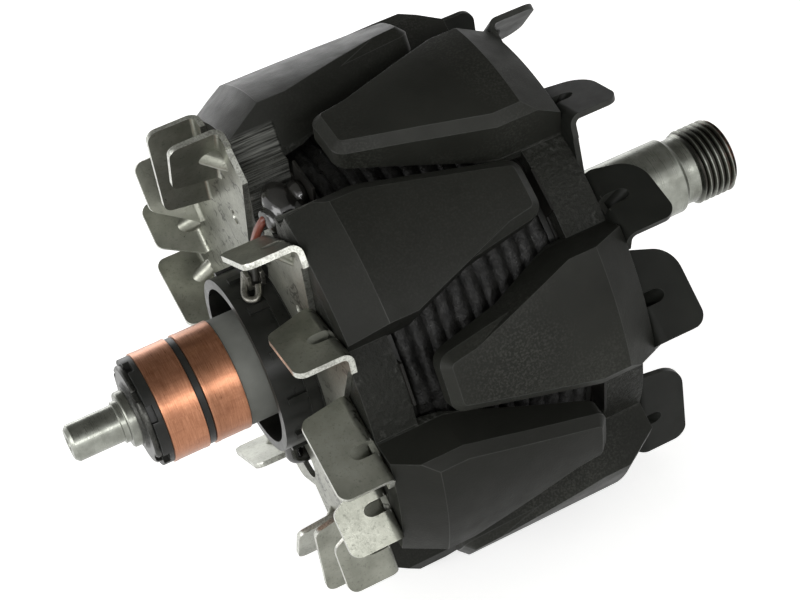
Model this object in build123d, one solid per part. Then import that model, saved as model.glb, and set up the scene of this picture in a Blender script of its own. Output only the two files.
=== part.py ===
from build123d import *
from math import cos, radians, sin, tan
import os

# The shaft lies along X with the drive end at +X, and X = 0 is the middle of the drive-end
# bearing seat. An angle round the shaft is counted from -Y towards +Z. Sizes are in millimetres.

# Shaft, from the drive end to the slip-ring end
bearing_seat_diameter = 17.0
bearing_seat_length = 14.0
pulley_seat_length = 16.0
undercut_diameter = 15.0
undercut_width = 3.3
thread_diameter = 16.8
thread_length = 9.9
thread_chamfer = 1.0
core_seat_diameter = 18.0
slip_ring_seat_diameter = 12.0
stub_length = 1.9
stub_chamfer = 0.4
journal_root_diameter = 9.0
journal_root_length = 1.2
journal_diameter = 8.0
journal_length = 10.6
journal_chamfer = 0.8
drive_centre_diameter = 5.6
journal_centre_diameter = 3.2
centre_half_angle = 30.0
drive_spacer_length = 4.6
drive_spacer_diameter = 25.0
drive_spacer_seat_diameter = 17.6
spacer_chamfer = 0.6

# Pole pieces: two alike, the rear one turned end for end and half a finger pitch round
finger_count = 6
pole_pack_length = 58.0
disc_thickness = 9.0
claw_radius = 54.7
valley_depth = 10.2
shoulder_drop = 4.7
shoulder_length = 7.8
finger_length = 36.3
finger_parallel_length = 6.0
finger_middle_length = 20.0
finger_plain_root = 12.8
finger_plain_middle = 7.9
finger_plain_tip = 5.4
finger_bevel_root = 14.2
finger_bevel_tip = 6.0
finger_bevel = 1.8
finger_tip_rounding = 3.0
finger_root_thickness = 11.7
finger_tip_thickness = 5.3
finger_burial = 5.0

# Winding between the roots of the fingers and the core, from the core outwards
winding_depth = 12.4
bobbin_fit = 0.2
bobbin_wall = 1.3
bobbin_flange = 1.2
wrap_clearance = 1.4
wrap_thickness = 2.2
wrap_band_pitch = 3.3
wrap_band_relief = 0.7
bobbin_flange_rise = 1.0
insulator_thickness = 0.6
insulator_rise = 0.6
insulator_tab_width = 9.0
insulator_tab_rise = 0.7

# Slip rings on their moulding
slip_ring_diameter = 23.9
slip_ring_wall = 1.55
slip_ring_width = 7.8
slip_ring_groove_width = 1.5
slip_ring_groove_depth = 0.75
slip_ring_step = 0.3
spacer_collar_length = 11.2
end_ring_width = 2.3
end_ring_web = 1.0
end_ring_notch_count = 6
end_ring_notch_angle = 14.0
end_ring_notch_width = 3.6
end_ring_notch_depth = 1.6
washer_diameter = 21.3
washer_width = 1.2
washer_hub_diameter = 15.0
washer_hub_rise = 0.7
washer_notch_count = 4
washer_notch_angle = 38.0
washer_notch_width = 2.4
washer_notch_depth = 1.2
rim_chamfer = 0.4

# Lead cup, conductors and leads
cup_radius = 19.2
cup_wall = 2.1
cup_length = 9.9
cup_floor = 2.8
cup_flange_height = 1.2
cup_flange_clearance = 0.4
cup_band_height = 2.6
cup_band_radius = 20.2
cup_rib_count = 12
cup_rib_angle = 19.0
cup_rib_width = 1.6
cup_rib_reach = 0.7
cup_rib_start = 2.0
lead_angles = (64.0, -118.0)
lead_depth = 4.9
lead_diameter = 1.8
lead_bend_radius = 3.0
lead_hole_fit = 0.3
lead_slot_angles = (60.0, -120.0)
lead_slot_width = 12.5
lead_slot_clearance = 0.5
strip_width = 2.4
strip_thickness = 0.9
strip_radius = 8.2
fork_reach = 2.8
fork_gap = 2.0
fork_end_clearance = 0.3
sleeve_wall = 1.0
sleeve_fit = 0.1
sleeve_end_gap = 0.5

# Fans, pressed from sheet, and welded to the pole faces. Each blade is given by the angle of its
# outer end, its width along the free edge and its width along the fold.
fan_sheet = 1.2
fan_bend_radius = 1.1
blade_height = 10.2
blade_leg = 5.0
rib_reach = 3.8
rib_radius = 2.0
rib_dent_radius = 1.4
weld_count = 6
weld_radius = 30.0
weld_diameter = 3.2
weld_depth = 0.3
rear_fan_hole_radius = 21.5
rear_fan_drop = 2.8
rear_blade_lean = 33.3
rear_blade_roundings = (2.2, 2.0)
rear_rib_place = 7.5
rear_blades = (
    (-140.0, 19.5, 20.0),
    (-102.9, 13.6, 15.5),
    (-82.0, 19.2, 21.5),
    (-56.3, 10.6, 15.0),
    (-34.9, 9.9, 14.5),
    (-15.7, 17.7, 19.0),
    (14.2, 14.1, 17.0),
    (39.1, 18.6, 18.6),
    (79.0, 13.5, 15.5),
    (97.3, 20.5, 22.0),
    (129.7, 10.8, 17.0),
    (148.0, 9.9, 15.0),
    (166.3, 17.5, 20.0),
    (194.0, 14.0, 16.0),
)
lead_notch_width = 9.0
lead_notch_inner_radius = 24.0
lead_notch_inner_angle = 71.0
lead_notch_outer_radius = 52.0
lead_notch_outer_angle = 60.0
lead_window_shift = 1.0
lead_window_radius = 5.0
lead_window_band = 2.2
lead_boss_place = 42.0
lead_boss_angle = -125.5
lead_boss_radius = 5.0
front_fan_hole_radius = 15.0
front_fan_drop = 2.8
front_blade_lean = 50.0
front_blade_roundings = (3.0, 6.0)
front_rib_place = 9.0
front_blades = (
    (-62.0, 20.0, 21.5),
    (-13.8, 16.2, 19.5),
    (12.5, 14.8, 17.0),
    (40.7, 13.8, 16.0),
    (76.9, 16.0, 18.0),
    (118.2, 18.0, 20.0),
    (150.0, 16.0, 18.0),
    (178.0, 16.0, 18.0),
    (206.0, 16.0, 18.0),
    (234.0, 16.0, 18.0),
    (266.0, 16.0, 18.0),
)

# Stations along the shaft
seat_end = bearing_seat_length / 2
front_face = -seat_end - drive_spacer_length
rear_face = front_face - pole_pack_length
pack_middle = (front_face + rear_face) / 2
coil_front = front_face - disc_thickness
coil_rear = rear_face + disc_thickness
winding_front = coil_front - insulator_thickness - bobbin_flange
winding_rear = coil_rear + insulator_thickness + bobbin_flange
cup_rim = rear_face - cup_length
cup_bottom = rear_face - cup_floor
band_end = rear_face - cup_flange_height - cup_band_height
collar_end = cup_bottom - spacer_collar_length
inner_ring_end = collar_end - slip_ring_width
outer_ring_start = inner_ring_end - slip_ring_groove_width
outer_ring_end = outer_ring_start - slip_ring_width
end_ring_end = outer_ring_end - end_ring_width
washer_end = end_ring_end - washer_width - washer_hub_rise
stub_end = washer_end - stub_length
journal_start = stub_end - journal_root_length
shaft_rear = journal_start - journal_length
undercut_start = seat_end + pulley_seat_length
thread_start = undercut_start + undercut_width
shaft_front = thread_start + thread_length
slip_ring_bed = slip_ring_diameter / 2 - slip_ring_wall
slip_ring_bore = slip_ring_seat_diameter / 2
lead_level = cup_bottom - fork_gap / 2

# Radii that follow from the sizes above
valley_radius = claw_radius - valley_depth
shoulder_radius = claw_radius - shoulder_drop
finger_root_inner_radius = claw_radius - finger_root_thickness
finger_tip_inner_radius = claw_radius - finger_tip_thickness
wrap_radius = finger_root_inner_radius - wrap_clearance
coil_radius = wrap_radius - wrap_thickness
bobbin_radius = coil_radius + bobbin_flange_rise
bobbin_bore = coil_radius - winding_depth - bobbin_wall
core_radius = bobbin_bore - bobbin_fit
insulator_radius = bobbin_radius + insulator_rise
insulator_tab_radius = valley_radius + insulator_tab_rise
slip_ring_radius = slip_ring_diameter / 2
moulding_radius = slip_ring_radius - slip_ring_step
lead_radius = coil_radius - lead_depth
sleeve_bore = lead_diameter / 2 + sleeve_fit
sleeve_radius = sleeve_bore + sleeve_wall
lead_slot_floor = lead_radius - sleeve_radius - lead_slot_clearance
blade_setback = fan_bend_radius + fan_sheet
rear_fan_tip_radius = claw_radius - rear_fan_drop
front_fan_tip_radius = claw_radius - front_fan_drop


def turned(*profile):
    """A body turned round the shaft from an outline of (x, radius) points."""
    return revolve(make_face(Polyline(*profile, close=True)), Axis.X)


def tube(start, end, inner, outer):
    return turned((start, inner), (end, inner), (end, outer), (start, outer))


def at_angle(part, angle):
    """Turns a body that was made towards -Y to its angle round the shaft."""
    return Rotation(-angle, 0, 0) * part


def round_the_shaft(part, count, first=0.0):
    return [at_angle(part, first + k * 360 / count) for k in range(count)]


def block(start, end, low, high, width):
    """A straight block towards -Y, from radius low to radius high."""
    middle = ((start + end) / 2, -(low + high) / 2, 0)
    return Pos(*middle) * Box(abs(end - start), high - low, width)


def drilled(start, end, radius, diameter):
    """A hole along the shaft, towards -Y."""
    hole = Cylinder(diameter / 2, abs(end - start))
    return Pos((start + end) / 2, -radius, 0) * Rotation(0, 90, 0) * hole


def centre_drill(mouth, diameter, direction):
    """The conical seat for a lathe centre, with its pilot hole."""
    pilot = diameter / 5
    cone = direction * (diameter / 2 - pilot) / tan(radians(centre_half_angle))
    return turned(
        (mouth, 0),
        (mouth, diameter / 2),
        (mouth + cone, pilot),
        (mouth + cone * 1.8, pilot),
        (mouth + cone * 2.0, 0),
    )


def make_shaft():
    seat = bearing_seat_diameter / 2
    thread = thread_diameter / 2
    groove = undercut_diameter / 2
    journal = journal_diameter / 2
    body = turned(
        (shaft_rear, 0),
        (shaft_rear, journal - journal_chamfer),
        (shaft_rear + journal_chamfer, journal),
        (journal_start, journal),
        (journal_start, journal_root_diameter / 2),
        (stub_end, journal_root_diameter / 2),
        (stub_end, slip_ring_bore - stub_chamfer),
        (stub_end + stub_chamfer, slip_ring_bore),
        (rear_face, slip_ring_bore),
        (rear_face, core_seat_diameter / 2),
        (front_face, core_seat_diameter / 2),
        (front_face, drive_spacer_seat_diameter / 2),
        (-seat_end, drive_spacer_seat_diameter / 2),
        (-seat_end, seat),
        (undercut_start, seat),
        (undercut_start + seat - groove, groove),
        (thread_start - thread + groove, groove),
        (thread_start, thread),
        (shaft_front - thread_chamfer, thread),
        (shaft_front, thread - thread_chamfer),
        (shaft_front, 0),
    )
    body -= centre_drill(shaft_front, drive_centre_diameter, -1)
    return body - centre_drill(shaft_rear, journal_centre_diameter, 1)


def make_drive_spacer():
    bore = drive_spacer_seat_diameter / 2
    rim = drive_spacer_diameter / 2
    return turned(
        (front_face, bore),
        (-seat_end, bore),
        (-seat_end, rim - spacer_chamfer),
        (-seat_end - spacer_chamfer, rim),
        (front_face, rim),
    )


def make_finger():
    """One finger towards -Y: a conical shoulder, a round outer face and a wall that thins to the tip."""
    base = front_face - shoulder_length
    tip = base - finger_length
    buried = valley_radius - finger_burial
    ring = turned(
        (front_face, buried),
        (front_face, shoulder_radius),
        (base, claw_radius),
        (tip, claw_radius),
        (tip, finger_tip_inner_radius),
        (coil_front, finger_root_inner_radius),
        (coil_front, buried),
    )
    outline = Polyline(
        (front_face + 1, finger_plain_root),
        (base - finger_parallel_length, finger_plain_root),
        (base - finger_middle_length, finger_plain_middle),
        (tip, finger_plain_tip),
        (tip, -finger_bevel_tip),
        (base - finger_parallel_length, -finger_bevel_root),
        (front_face + 1, -finger_bevel_root),
        close=True,
    )
    plan = Plane.XZ * make_face(outline)
    corners = plan.vertices().filter_by_position(Axis.X, tip - 0.1, tip + 0.1)
    plan = extrude(fillet(corners, finger_tip_rounding), amount=claw_radius + 1, dir=(0, -1, 0))
    finger = (ring & plan).solids().sort_by(Axis.Y)[0]
    side = [
        edge
        for edge in finger.edges()
        if edge.center().Z < -finger_bevel_tip and edge.center().Y < -finger_tip_inner_radius
        and tip + finger_tip_rounding < edge.center().X < base
        and abs(edge.tangent_at(0.5).X) > 0.9
    ]
    return chamfer(side, finger_bevel)


def make_front_pole():
    """A disc with its ring of fingers, which reach back towards -X."""
    pole = tube(coil_front, front_face, core_seat_diameter / 2, valley_radius)
    for finger in round_the_shaft(make_finger(), finger_count):
        pole += finger
    return pole


def make_rear_pole():
    """The same piece, turned end for end, half a finger pitch round, with a slot for each lead."""
    turn = Pos(pack_middle, 0, 0) * Rotation(0, 180, 0) * Pos(-pack_middle, 0, 0)
    pole = at_angle(turn * make_front_pole(), 180 / finger_count)
    slot = block(rear_face - 1, coil_rear + 1, lead_slot_floor, claw_radius, lead_slot_width)
    for angle in lead_slot_angles:
        pole -= at_angle(slot, angle)
    return pole


def lead_passages(start, end):
    """The room the two leads take through the insulation."""
    hole = drilled(start, end, lead_radius, lead_diameter + 2 * lead_hole_fit)
    return [at_angle(hole, angle) for angle in lead_angles]


def make_bobbin():
    hub = bobbin_bore + bobbin_wall
    rear = coil_rear + insulator_thickness
    front = coil_front - insulator_thickness
    spool = turned(
        (rear, bobbin_bore),
        (front, bobbin_bore),
        (front, bobbin_radius),
        (winding_front, bobbin_radius),
        (winding_front, hub),
        (winding_rear, hub),
        (winding_rear, bobbin_radius),
        (rear, bobbin_radius),
    )
    for hole in lead_passages(rear - 1, winding_rear + 0.1):
        spool -= hole
    return spool


def along_the_lead(section, start, end):
    """Carries a section along a lead towards -Y: out of the pole piece, then in towards the shaft."""
    route = FilletPolyline(
        (start, -lead_radius, 0),
        (lead_level, -lead_radius, 0),
        (lead_level, -end, 0),
        radius=lead_bend_radius,
    )
    return sweep(Plane(origin=route @ 0, z_dir=route % 0) * section, path=route)


def make_coil():
    """The winding, with the two ends of its wire led out through the rear pole piece."""
    coil = tube(winding_rear, winding_front, bobbin_bore + bobbin_wall, coil_radius)
    fork = cup_band_radius + strip_thickness + fork_end_clearance
    lead = along_the_lead(Circle(lead_diameter / 2), winding_rear + 1, fork)
    for angle in lead_angles:
        coil += at_angle(lead, angle)
    return coil


def make_wrap():
    """Bands of varnished tape round the winding, each one bulging between its edges."""
    length = winding_front - winding_rear
    bands = round(length / wrap_band_pitch)
    pitch = length / bands
    valley = wrap_radius - wrap_band_relief
    profile = [(winding_rear, coil_radius)]
    for k in range(bands):
        start = winding_rear + k * pitch
        profile += [(start, valley), (start + pitch * 0.3, wrap_radius), (start + pitch * 0.75, wrap_radius)]
    profile += [(winding_front, valley), (winding_front, coil_radius)]
    return turned(*profile)


def make_insulator(start, end, first_tab):
    """A washer of insulating board with a tab in each valley between the fingers of its pole piece."""
    washer = tube(start, end, bobbin_bore, insulator_radius)
    tab = block(start, end, insulator_radius - 2, insulator_tab_radius, insulator_tab_width)
    for piece in round_the_shaft(tab, finger_count, first_tab):
        washer += piece
    return washer


def make_rear_insulator():
    washer = make_insulator(coil_rear, coil_rear + insulator_thickness, 0.0)
    for hole in lead_passages(coil_rear - 1, coil_rear + insulator_thickness + 0.1):
        washer -= hole
    return washer


def make_strip(which, ring_start):
    """A conductor: under its slip ring, along the moulding, out through the cup and up into a fork."""
    low = strip_radius - strip_thickness / 2
    high = strip_radius + strip_thickness / 2
    tab = ring_start - slip_ring_width / 2
    contact = (slip_ring_bed**2 - (strip_width / 2) ** 2) ** 0.5
    foot = cup_bottom + strip_thickness
    back = cup_band_radius + strip_thickness
    top = cup_bottom - fork_gap - strip_thickness
    strip = block(tab - strip_width, foot, low, high, strip_width)
    strip += block(tab - strip_width, tab, low, contact, strip_width)
    strip += block(cup_bottom, foot, low, back + fork_reach, strip_width)
    strip += block(top, foot, cup_band_radius, back, strip_width)
    strip += block(top, top + strip_thickness, cup_band_radius, back + fork_reach, strip_width)
    return at_angle(strip, lead_angles[which])


def make_slip_moulding():
    rib = slip_ring_radius - slip_ring_groove_depth
    body = turned(
        (outer_ring_end, slip_ring_bore),
        (cup_bottom, slip_ring_bore),
        (cup_bottom, slip_ring_bed),
        (inner_ring_end, slip_ring_bed),
        (inner_ring_end, rib),
        (outer_ring_start, rib),
        (outer_ring_start, slip_ring_bed),
        (outer_ring_end, slip_ring_bed),
    )
    return body - outer_strip - inner_strip


def make_end_ring():
    """The castellated ring at the end of the moulding: a thin web with a crown of lugs."""
    rim = moulding_radius
    ring = tube(end_ring_end, outer_ring_end, slip_ring_bore, rim)
    floor = rim - end_ring_notch_depth
    notch = block(end_ring_end, outer_ring_end - end_ring_web, floor, rim + 1, end_ring_notch_width)
    for piece in round_the_shaft(notch, end_ring_notch_count, end_ring_notch_angle):
        ring -= piece
    return ring


def make_washer():
    """The steel washer that holds the slip rings on their seat, with a raised hub."""
    rim = washer_diameter / 2
    hub = washer_hub_diameter / 2
    face = end_ring_end - washer_width
    washer = turned(
        (end_ring_end, slip_ring_bore),
        (end_ring_end, rim),
        (face + rim_chamfer, rim),
        (face, rim - rim_chamfer),
        (face, hub),
        (washer_end, hub - washer_hub_rise),
        (washer_end, slip_ring_bore),
    )
    notch = block(face, end_ring_end, rim - washer_notch_depth, rim + 1, washer_notch_width)
    for piece in round_the_shaft(notch, washer_notch_count, washer_notch_angle):
        washer -= piece
    return washer


def make_cup():
    """The cup round the leads: a thin rim, a deep recess, a ribbed wall, a band and a seating flange."""
    flange = rear_fan_hole_radius - cup_flange_clearance
    cup = turned(
        (rear_face, slip_ring_bore),
        (cup_bottom, slip_ring_bore),
        (cup_bottom, cup_radius - cup_wall),
        (cup_rim, cup_radius - cup_wall),
        (cup_rim, cup_radius),
        (band_end, cup_radius),
        (band_end, cup_band_radius),
        (rear_face - cup_flange_height, cup_band_radius),
        (rear_face - cup_flange_height, flange),
        (rear_face, flange),
    )
    rib = block(
        cup_rim + cup_rib_start,
        band_end,
        cup_radius - cup_wall / 2,
        cup_radius + cup_rib_reach,
        cup_rib_width,
    )
    for piece in round_the_shaft(rib, cup_rib_count, cup_rib_angle):
        cup += piece
    return cup - outer_strip - inner_strip


def make_sleeve(which):
    """Sleeving over a lead, from the pole piece's slot to near its fork."""
    section = Circle(sleeve_radius) - Circle(sleeve_bore)
    fork = cup_band_radius + strip_thickness + fork_reach
    tubing = along_the_lead(section, coil_rear - sleeve_end_gap, fork + sleeve_end_gap)
    return at_angle(tubing, lead_angles[which])


def in_fan(radius, angle):
    """A point of the fan's plane as a vector of its y and z."""
    return Vector(-radius * cos(radians(angle)), radius * sin(radians(angle)))


def fold_frame(tip_radius, lean, angle, foot):
    """The outer end, the inner end and the direction into the sheet of a blade's fold."""
    outer = in_fan(tip_radius, angle)
    along = in_fan(1, angle + 180 - lean)
    return outer, outer + along * foot, along, Vector(along.Y, -along.X)


def press_rib(blade, place):
    """Raises a thumb-shaped rib in the crook of a bend and dents it from the outside."""
    half = rib_reach / 2
    lean = Pos(half, half, place) * Rotation(0, 0, -45) * Rotation(0, 90, 0)
    reach = 3 * rib_reach
    under = make_face(Polyline((0, 0), (rib_reach, 0), (0, rib_reach), close=True))
    raised = lean * Cylinder(rib_radius, reach)
    raised += Pos(0, 0, place - rib_radius) * extrude(under, amount=2 * rib_radius, dir=(0, 0, 1))
    middle = reach + fan_sheet / 2
    quadrant = Pos(middle, middle, place) * Box(2 * reach, 2 * reach, 2 * reach)
    far = reach + rib_reach
    outside = make_face(Polyline((-reach, -reach), (far, -reach), (-reach, far), close=True))
    dented = lean * Cylinder(rib_dent_radius, 2 * reach)
    dented += Pos(0, 0, place - rib_dent_radius) * extrude(
        outside, amount=2 * rib_dent_radius, dir=(0, 0, 1)
    )
    return blade + (raised & quadrant) - dented


def blade_outline(width, foot, roundings):
    """A blade seen square on, from its fold to its free edge, with a rounding at each end."""
    top = blade_height + fan_sheet
    face = make_face(
        Polyline((0, 0), (top, 0), (top, width), (blade_setback, foot), (0, foot), close=True)
    )
    for end, rounding in zip((0, width), roundings):
        corner = face.vertices().filter_by_position(Axis.X, top - 0.1, top + 0.1)
        corner = corner.filter_by_position(Axis.Y, end - 0.1, end + 0.1)
        face = fillet(corner, rounding)
    return extrude(Plane.YZ * face, amount=blade_leg)


def make_blade(place, width, foot, roundings, rib_place):
    """A blade bent up from the sheet at its fold, with a rib pressed into the bend."""
    outer, inner, along, inward = place
    top = blade_height + fan_sheet
    section = make_face(
        Polyline(
            (0, 0),
            (blade_leg, 0),
            (blade_leg, fan_sheet),
            (fan_sheet, fan_sheet),
            (fan_sheet, top),
            (0, top),
            close=True,
        )
    )
    bend = section.vertices().filter_by_position(Axis.X, -0.1, 0.1).sort_by(Axis.Y)[:1]
    section = fillet(bend, blade_setback)
    crook = section.vertices().filter_by_position(Axis.X, fan_sheet - 0.1, fan_sheet + 0.1)
    section = fillet(crook.sort_by(Axis.Y)[:1], fan_bend_radius)
    blade = extrude(section, amount=foot, dir=(0, 0, 1)) & blade_outline(width, foot, roundings)
    blade = press_rib(blade, rib_place)
    into_sheet = (0, inward.X, inward.Y)
    along_fold = (0, along.X, along.Y)
    return Plane(origin=(0, outer.X, outer.Y), x_dir=into_sheet, z_dir=along_fold) * blade


def sheet_part(face):
    """A piece of the fan's flat sheet, from a face drawn in its y and z."""
    return extrude(Plane(origin=(0, 0, 0), x_dir=(0, 1, 0), z_dir=(1, 0, 0)) * face, amount=-fan_sheet)


def make_fan(tip_radius, hole_radius, lean, blades, roundings, rib_place):
    """A fan as the rear one stands: its sheet from X = 0 to -fan_sheet, its blades towards -X."""
    places = [fold_frame(tip_radius, lean, angle, foot) for angle, width, foot in blades]
    outline = []
    for outer, inner, along, inward in places:
        outline += [outer + inward * blade_setback, inner + inward * blade_setback]
    outline = Polyline(*[(point.X, point.Y) for point in outline], close=True)
    fan = sheet_part(make_face(outline))
    for place, (angle, width, foot) in zip(places, blades):
        fan += make_blade(place, width, foot, roundings, rib_place)
    fan -= tube(-fan_sheet - 1, 1, 0, hole_radius)
    weld = drilled(-fan_sheet, -fan_sheet + weld_depth, weld_radius, weld_diameter)
    for piece in round_the_shaft(weld, weld_count, 180 / weld_count):
        fan -= piece
    return fan


def hull_of_discs(*discs):
    """The sheet round a row of discs, each given by its radius and angle in the fan and its own radius."""
    places = [(in_fan(radius, angle), size) for radius, angle, size in discs]
    return sheet_part(make_hull([Pos(at.X, at.Y) * Circle(size).edge() for at, size in places]))


def make_rear_fan():
    """The bare fan, cut away where the two leads come through."""
    fan = make_fan(
        rear_fan_tip_radius,
        rear_fan_hole_radius,
        rear_blade_lean,
        rear_blades,
        rear_blade_roundings,
        rear_rib_place,
    )
    half = lead_notch_width / 2
    fan -= hull_of_discs(
        (lead_notch_inner_radius, lead_notch_inner_angle, half),
        (lead_notch_outer_radius, lead_notch_outer_angle, half),
    )
    window = lead_radius + lead_window_shift
    fan += hull_of_discs(
        (window, lead_angles[1], lead_window_radius + lead_window_band),
        (lead_boss_place, lead_boss_angle, lead_boss_radius),
    )
    middle = in_fan(window, lead_angles[1])
    fan -= sheet_part(Pos(middle.X, middle.Y) * Circle(lead_window_radius))
    return Pos(rear_face, 0, 0) * fan


def make_front_fan():
    fan = make_fan(
        front_fan_tip_radius,
        front_fan_hole_radius,
        front_blade_lean,
        front_blades,
        front_blade_roundings,
        front_rib_place,
    )
    return Pos(front_face, 0, 0) * mirror(fan, about=Plane.YZ)


outer_strip = make_strip(0, outer_ring_start)
inner_strip = make_strip(1, collar_end)

parts = {
    "shaft": make_shaft(),
    "drive_spacer": make_drive_spacer(),
    "front_fan": make_front_fan(),
    "front_pole_piece": make_front_pole(),
    "front_insulator": make_insulator(coil_front - insulator_thickness, coil_front, 180 / finger_count),
    "pole_core": tube(coil_rear, coil_front, core_seat_diameter / 2, core_radius),
    "coil_bobbin": make_bobbin(),
    "field_coil": make_coil(),
    "coil_wrap": make_wrap(),
    "rear_insulator": make_rear_insulator(),
    "rear_pole_piece": make_rear_pole(),
    "rear_fan": make_rear_fan(),
    "lead_cup": make_cup(),
    "lead_sleeve_start": make_sleeve(0),
    "lead_sleeve_finish": make_sleeve(1),
    "slip_ring_moulding": make_slip_moulding(),
    "conductor_outer": outer_strip,
    "conductor_inner": inner_strip,
    "spacer_collar": tube(collar_end, cup_bottom, slip_ring_bed, moulding_radius),
    "inner_slip_ring": tube(inner_ring_end, collar_end, slip_ring_bed, slip_ring_radius),
    "outer_slip_ring": tube(outer_ring_end, outer_ring_start, slip_ring_bed, slip_ring_radius),
    "end_ring": make_end_ring(),
    "retaining_washer": make_washer(),
}

os.makedirs("parts", exist_ok=True)
for name, part in parts.items():
    export_step(part, f"parts/{name}.step")
    print(name, round(part.volume / 1000, 2), "cm3")
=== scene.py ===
import math
import bpy
from mathutils import Matrix, Vector
from mathutils.bvhtree import BVHTree


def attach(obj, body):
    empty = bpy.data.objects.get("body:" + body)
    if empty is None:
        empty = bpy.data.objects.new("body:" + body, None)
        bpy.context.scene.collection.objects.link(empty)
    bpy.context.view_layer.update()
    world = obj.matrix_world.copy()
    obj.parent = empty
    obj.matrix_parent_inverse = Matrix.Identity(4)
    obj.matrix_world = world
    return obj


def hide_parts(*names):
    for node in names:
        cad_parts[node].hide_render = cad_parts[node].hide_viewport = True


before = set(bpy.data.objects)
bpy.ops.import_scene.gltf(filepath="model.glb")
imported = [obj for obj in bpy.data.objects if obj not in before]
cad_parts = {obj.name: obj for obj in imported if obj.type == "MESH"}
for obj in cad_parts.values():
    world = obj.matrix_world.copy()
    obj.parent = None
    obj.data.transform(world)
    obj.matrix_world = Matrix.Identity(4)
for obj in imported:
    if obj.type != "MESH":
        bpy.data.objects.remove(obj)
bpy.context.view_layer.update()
mm = 0.001

mesh = {
    # how finely pieces are cut, in segments round the shaft or in millimetres and degrees
    "shaftSides": 96, "ringSides": 128, "windingSides": 300, "weld": 0.004, "latheWeld": 0.002, "flatness": 1.0,
    "ringShade": 40, "hair": 0.01,
}


def dropSelection():
    if bpy.context.object and bpy.context.object.mode != "OBJECT":
        bpy.ops.object.mode_set(mode="OBJECT")
    bpy.ops.object.select_all(action="DESELECT")


def pick(piece):
    dropSelection()
    piece.select_set(True)
    bpy.context.view_layer.objects.active = piece


def applyModifiers(piece):
    pick(piece)
    for modifier in list(piece.modifiers):
        bpy.ops.object.modifier_apply(modifier=modifier.name)


def settle(piece):
    # turns, sizes and place go into the mesh
    pick(piece)
    bpy.ops.object.transform_apply(location=True, rotation=True, scale=True)


def smooth(piece, degrees):
    pick(piece)
    bpy.ops.object.shade_smooth_by_angle(angle=math.radians(degrees))


def finishSlots(piece, slotName, *nodes):
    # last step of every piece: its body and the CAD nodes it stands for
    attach(piece, "root")
    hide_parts(*nodes)


def dress(piece, *materials):
    piece.data.materials.clear()
    for material in materials:
        piece.data.materials.append(material)


def wear(piece, material, slotName, *nodes):
    dress(piece, material)
    finishSlots(piece, slotName, *nodes)


def copyOfNode(node, name):
    # a merged copy of a CAD node, ready for softer edges
    dropSelection()
    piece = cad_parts[node].copy()
    piece.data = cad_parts[node].data.copy()
    for key in list(piece.keys()):
        del piece[key]
    piece.parent = None
    piece.name = name
    bpy.context.scene.collection.objects.link(piece)
    pick(piece)
    bpy.ops.object.mode_set(mode="EDIT")
    bpy.ops.mesh.select_all(action="SELECT")
    bpy.ops.mesh.remove_doubles(threshold=mesh["weld"] * mm)
    bpy.ops.mesh.dissolve_limited(angle_limit=math.radians(mesh["flatness"]))
    bpy.ops.object.mode_set(mode="OBJECT")
    return piece


def softEdges(piece, width, degrees=28, rimSlot=-1, shadeDegrees=40):
    # a narrow round on every edge sharper than so many degrees; flat faces keep flat normals
    bevel = piece.modifiers.new("edges", "BEVEL")
    bevel.width = width * mm
    bevel.segments = 2
    bevel.limit_method = "ANGLE"
    bevel.angle_limit = math.radians(degrees)
    bevel.use_clamp_overlap = True
    bevel.material = rimSlot
    applyModifiers(piece)
    smooth(piece, shadeDegrees)
    level = piece.modifiers.new("level", "WEIGHTED_NORMAL")
    level.mode = "FACE_AREA"
    level.weight = 100
    level.keep_sharp = True
    applyModifiers(piece)
    return piece


def lathe(name, stations, segments, closed=False):
    # a circle at the first (x, radius), pulled from station to station along the shaft
    firstX, firstRadius = stations[0]
    dropSelection()
    bpy.ops.mesh.primitive_circle_add(vertices=segments, radius=firstRadius * mm, fill_type="NOTHING",
                                      location=(firstX * mm, 0, 0), rotation=(0, math.pi / 2, 0))
    piece = bpy.context.object
    piece.name = name
    settle(piece)
    bpy.ops.object.mode_set(mode="EDIT")
    bpy.ops.mesh.select_all(action="SELECT")
    lastX, lastRadius = firstX, firstRadius
    for x, radius in stations[1:]:
        bpy.ops.mesh.extrude_region_move(TRANSFORM_OT_translate={"value": ((x - lastX) * mm, 0, 0)})
        share = radius / lastRadius
        if abs(share - 1) > 1e-9:
            bpy.ops.transform.resize(value=(1, share, share), center_override=(x * mm, 0, 0))
        lastX, lastRadius = x, radius
    bpy.ops.mesh.select_all(action="SELECT")
    if closed:
        bpy.ops.mesh.remove_doubles(threshold=mesh["latheWeld"] * mm)
    else:
        bpy.ops.mesh.select_all(action="DESELECT")
        bpy.ops.mesh.select_non_manifold()
        bpy.ops.mesh.edge_face_add()
    bpy.ops.mesh.select_all(action="SELECT")
    bpy.ops.mesh.normals_make_consistent(inside=False)
    bpy.ops.object.mode_set(mode="OBJECT")
    return piece


def turnRing(name, stations):
    # a closed ring or sleeve from its outline, smooth round the shaft
    piece = lathe(name, stations + stations[:1], mesh["ringSides"], closed=True)
    smooth(piece, mesh["ringShade"])
    return piece


def join(pieces, name):
    dropSelection()
    for piece in pieces:
        piece.select_set(True)
    bpy.context.view_layer.objects.active = pieces[0]
    bpy.ops.object.join()
    pieces[0].name = name
    return pieces[0]


def newMaterial(name, colour, roughness, metallic=0.0, gloss=0.5):
    # the plain values; a pattern linked over one of them takes its place
    material = bpy.data.materials.new(name)
    material.use_nodes = True
    shader = material.node_tree.nodes["Principled BSDF"]
    shader.inputs["Base Color"].default_value = (*colour, 1)
    shader.inputs["Roughness"].default_value = roughness
    shader.inputs["Metallic"].default_value = metallic
    shader.inputs["Specular IOR Level"].default_value = gloss
    return material, material.node_tree, shader


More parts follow.
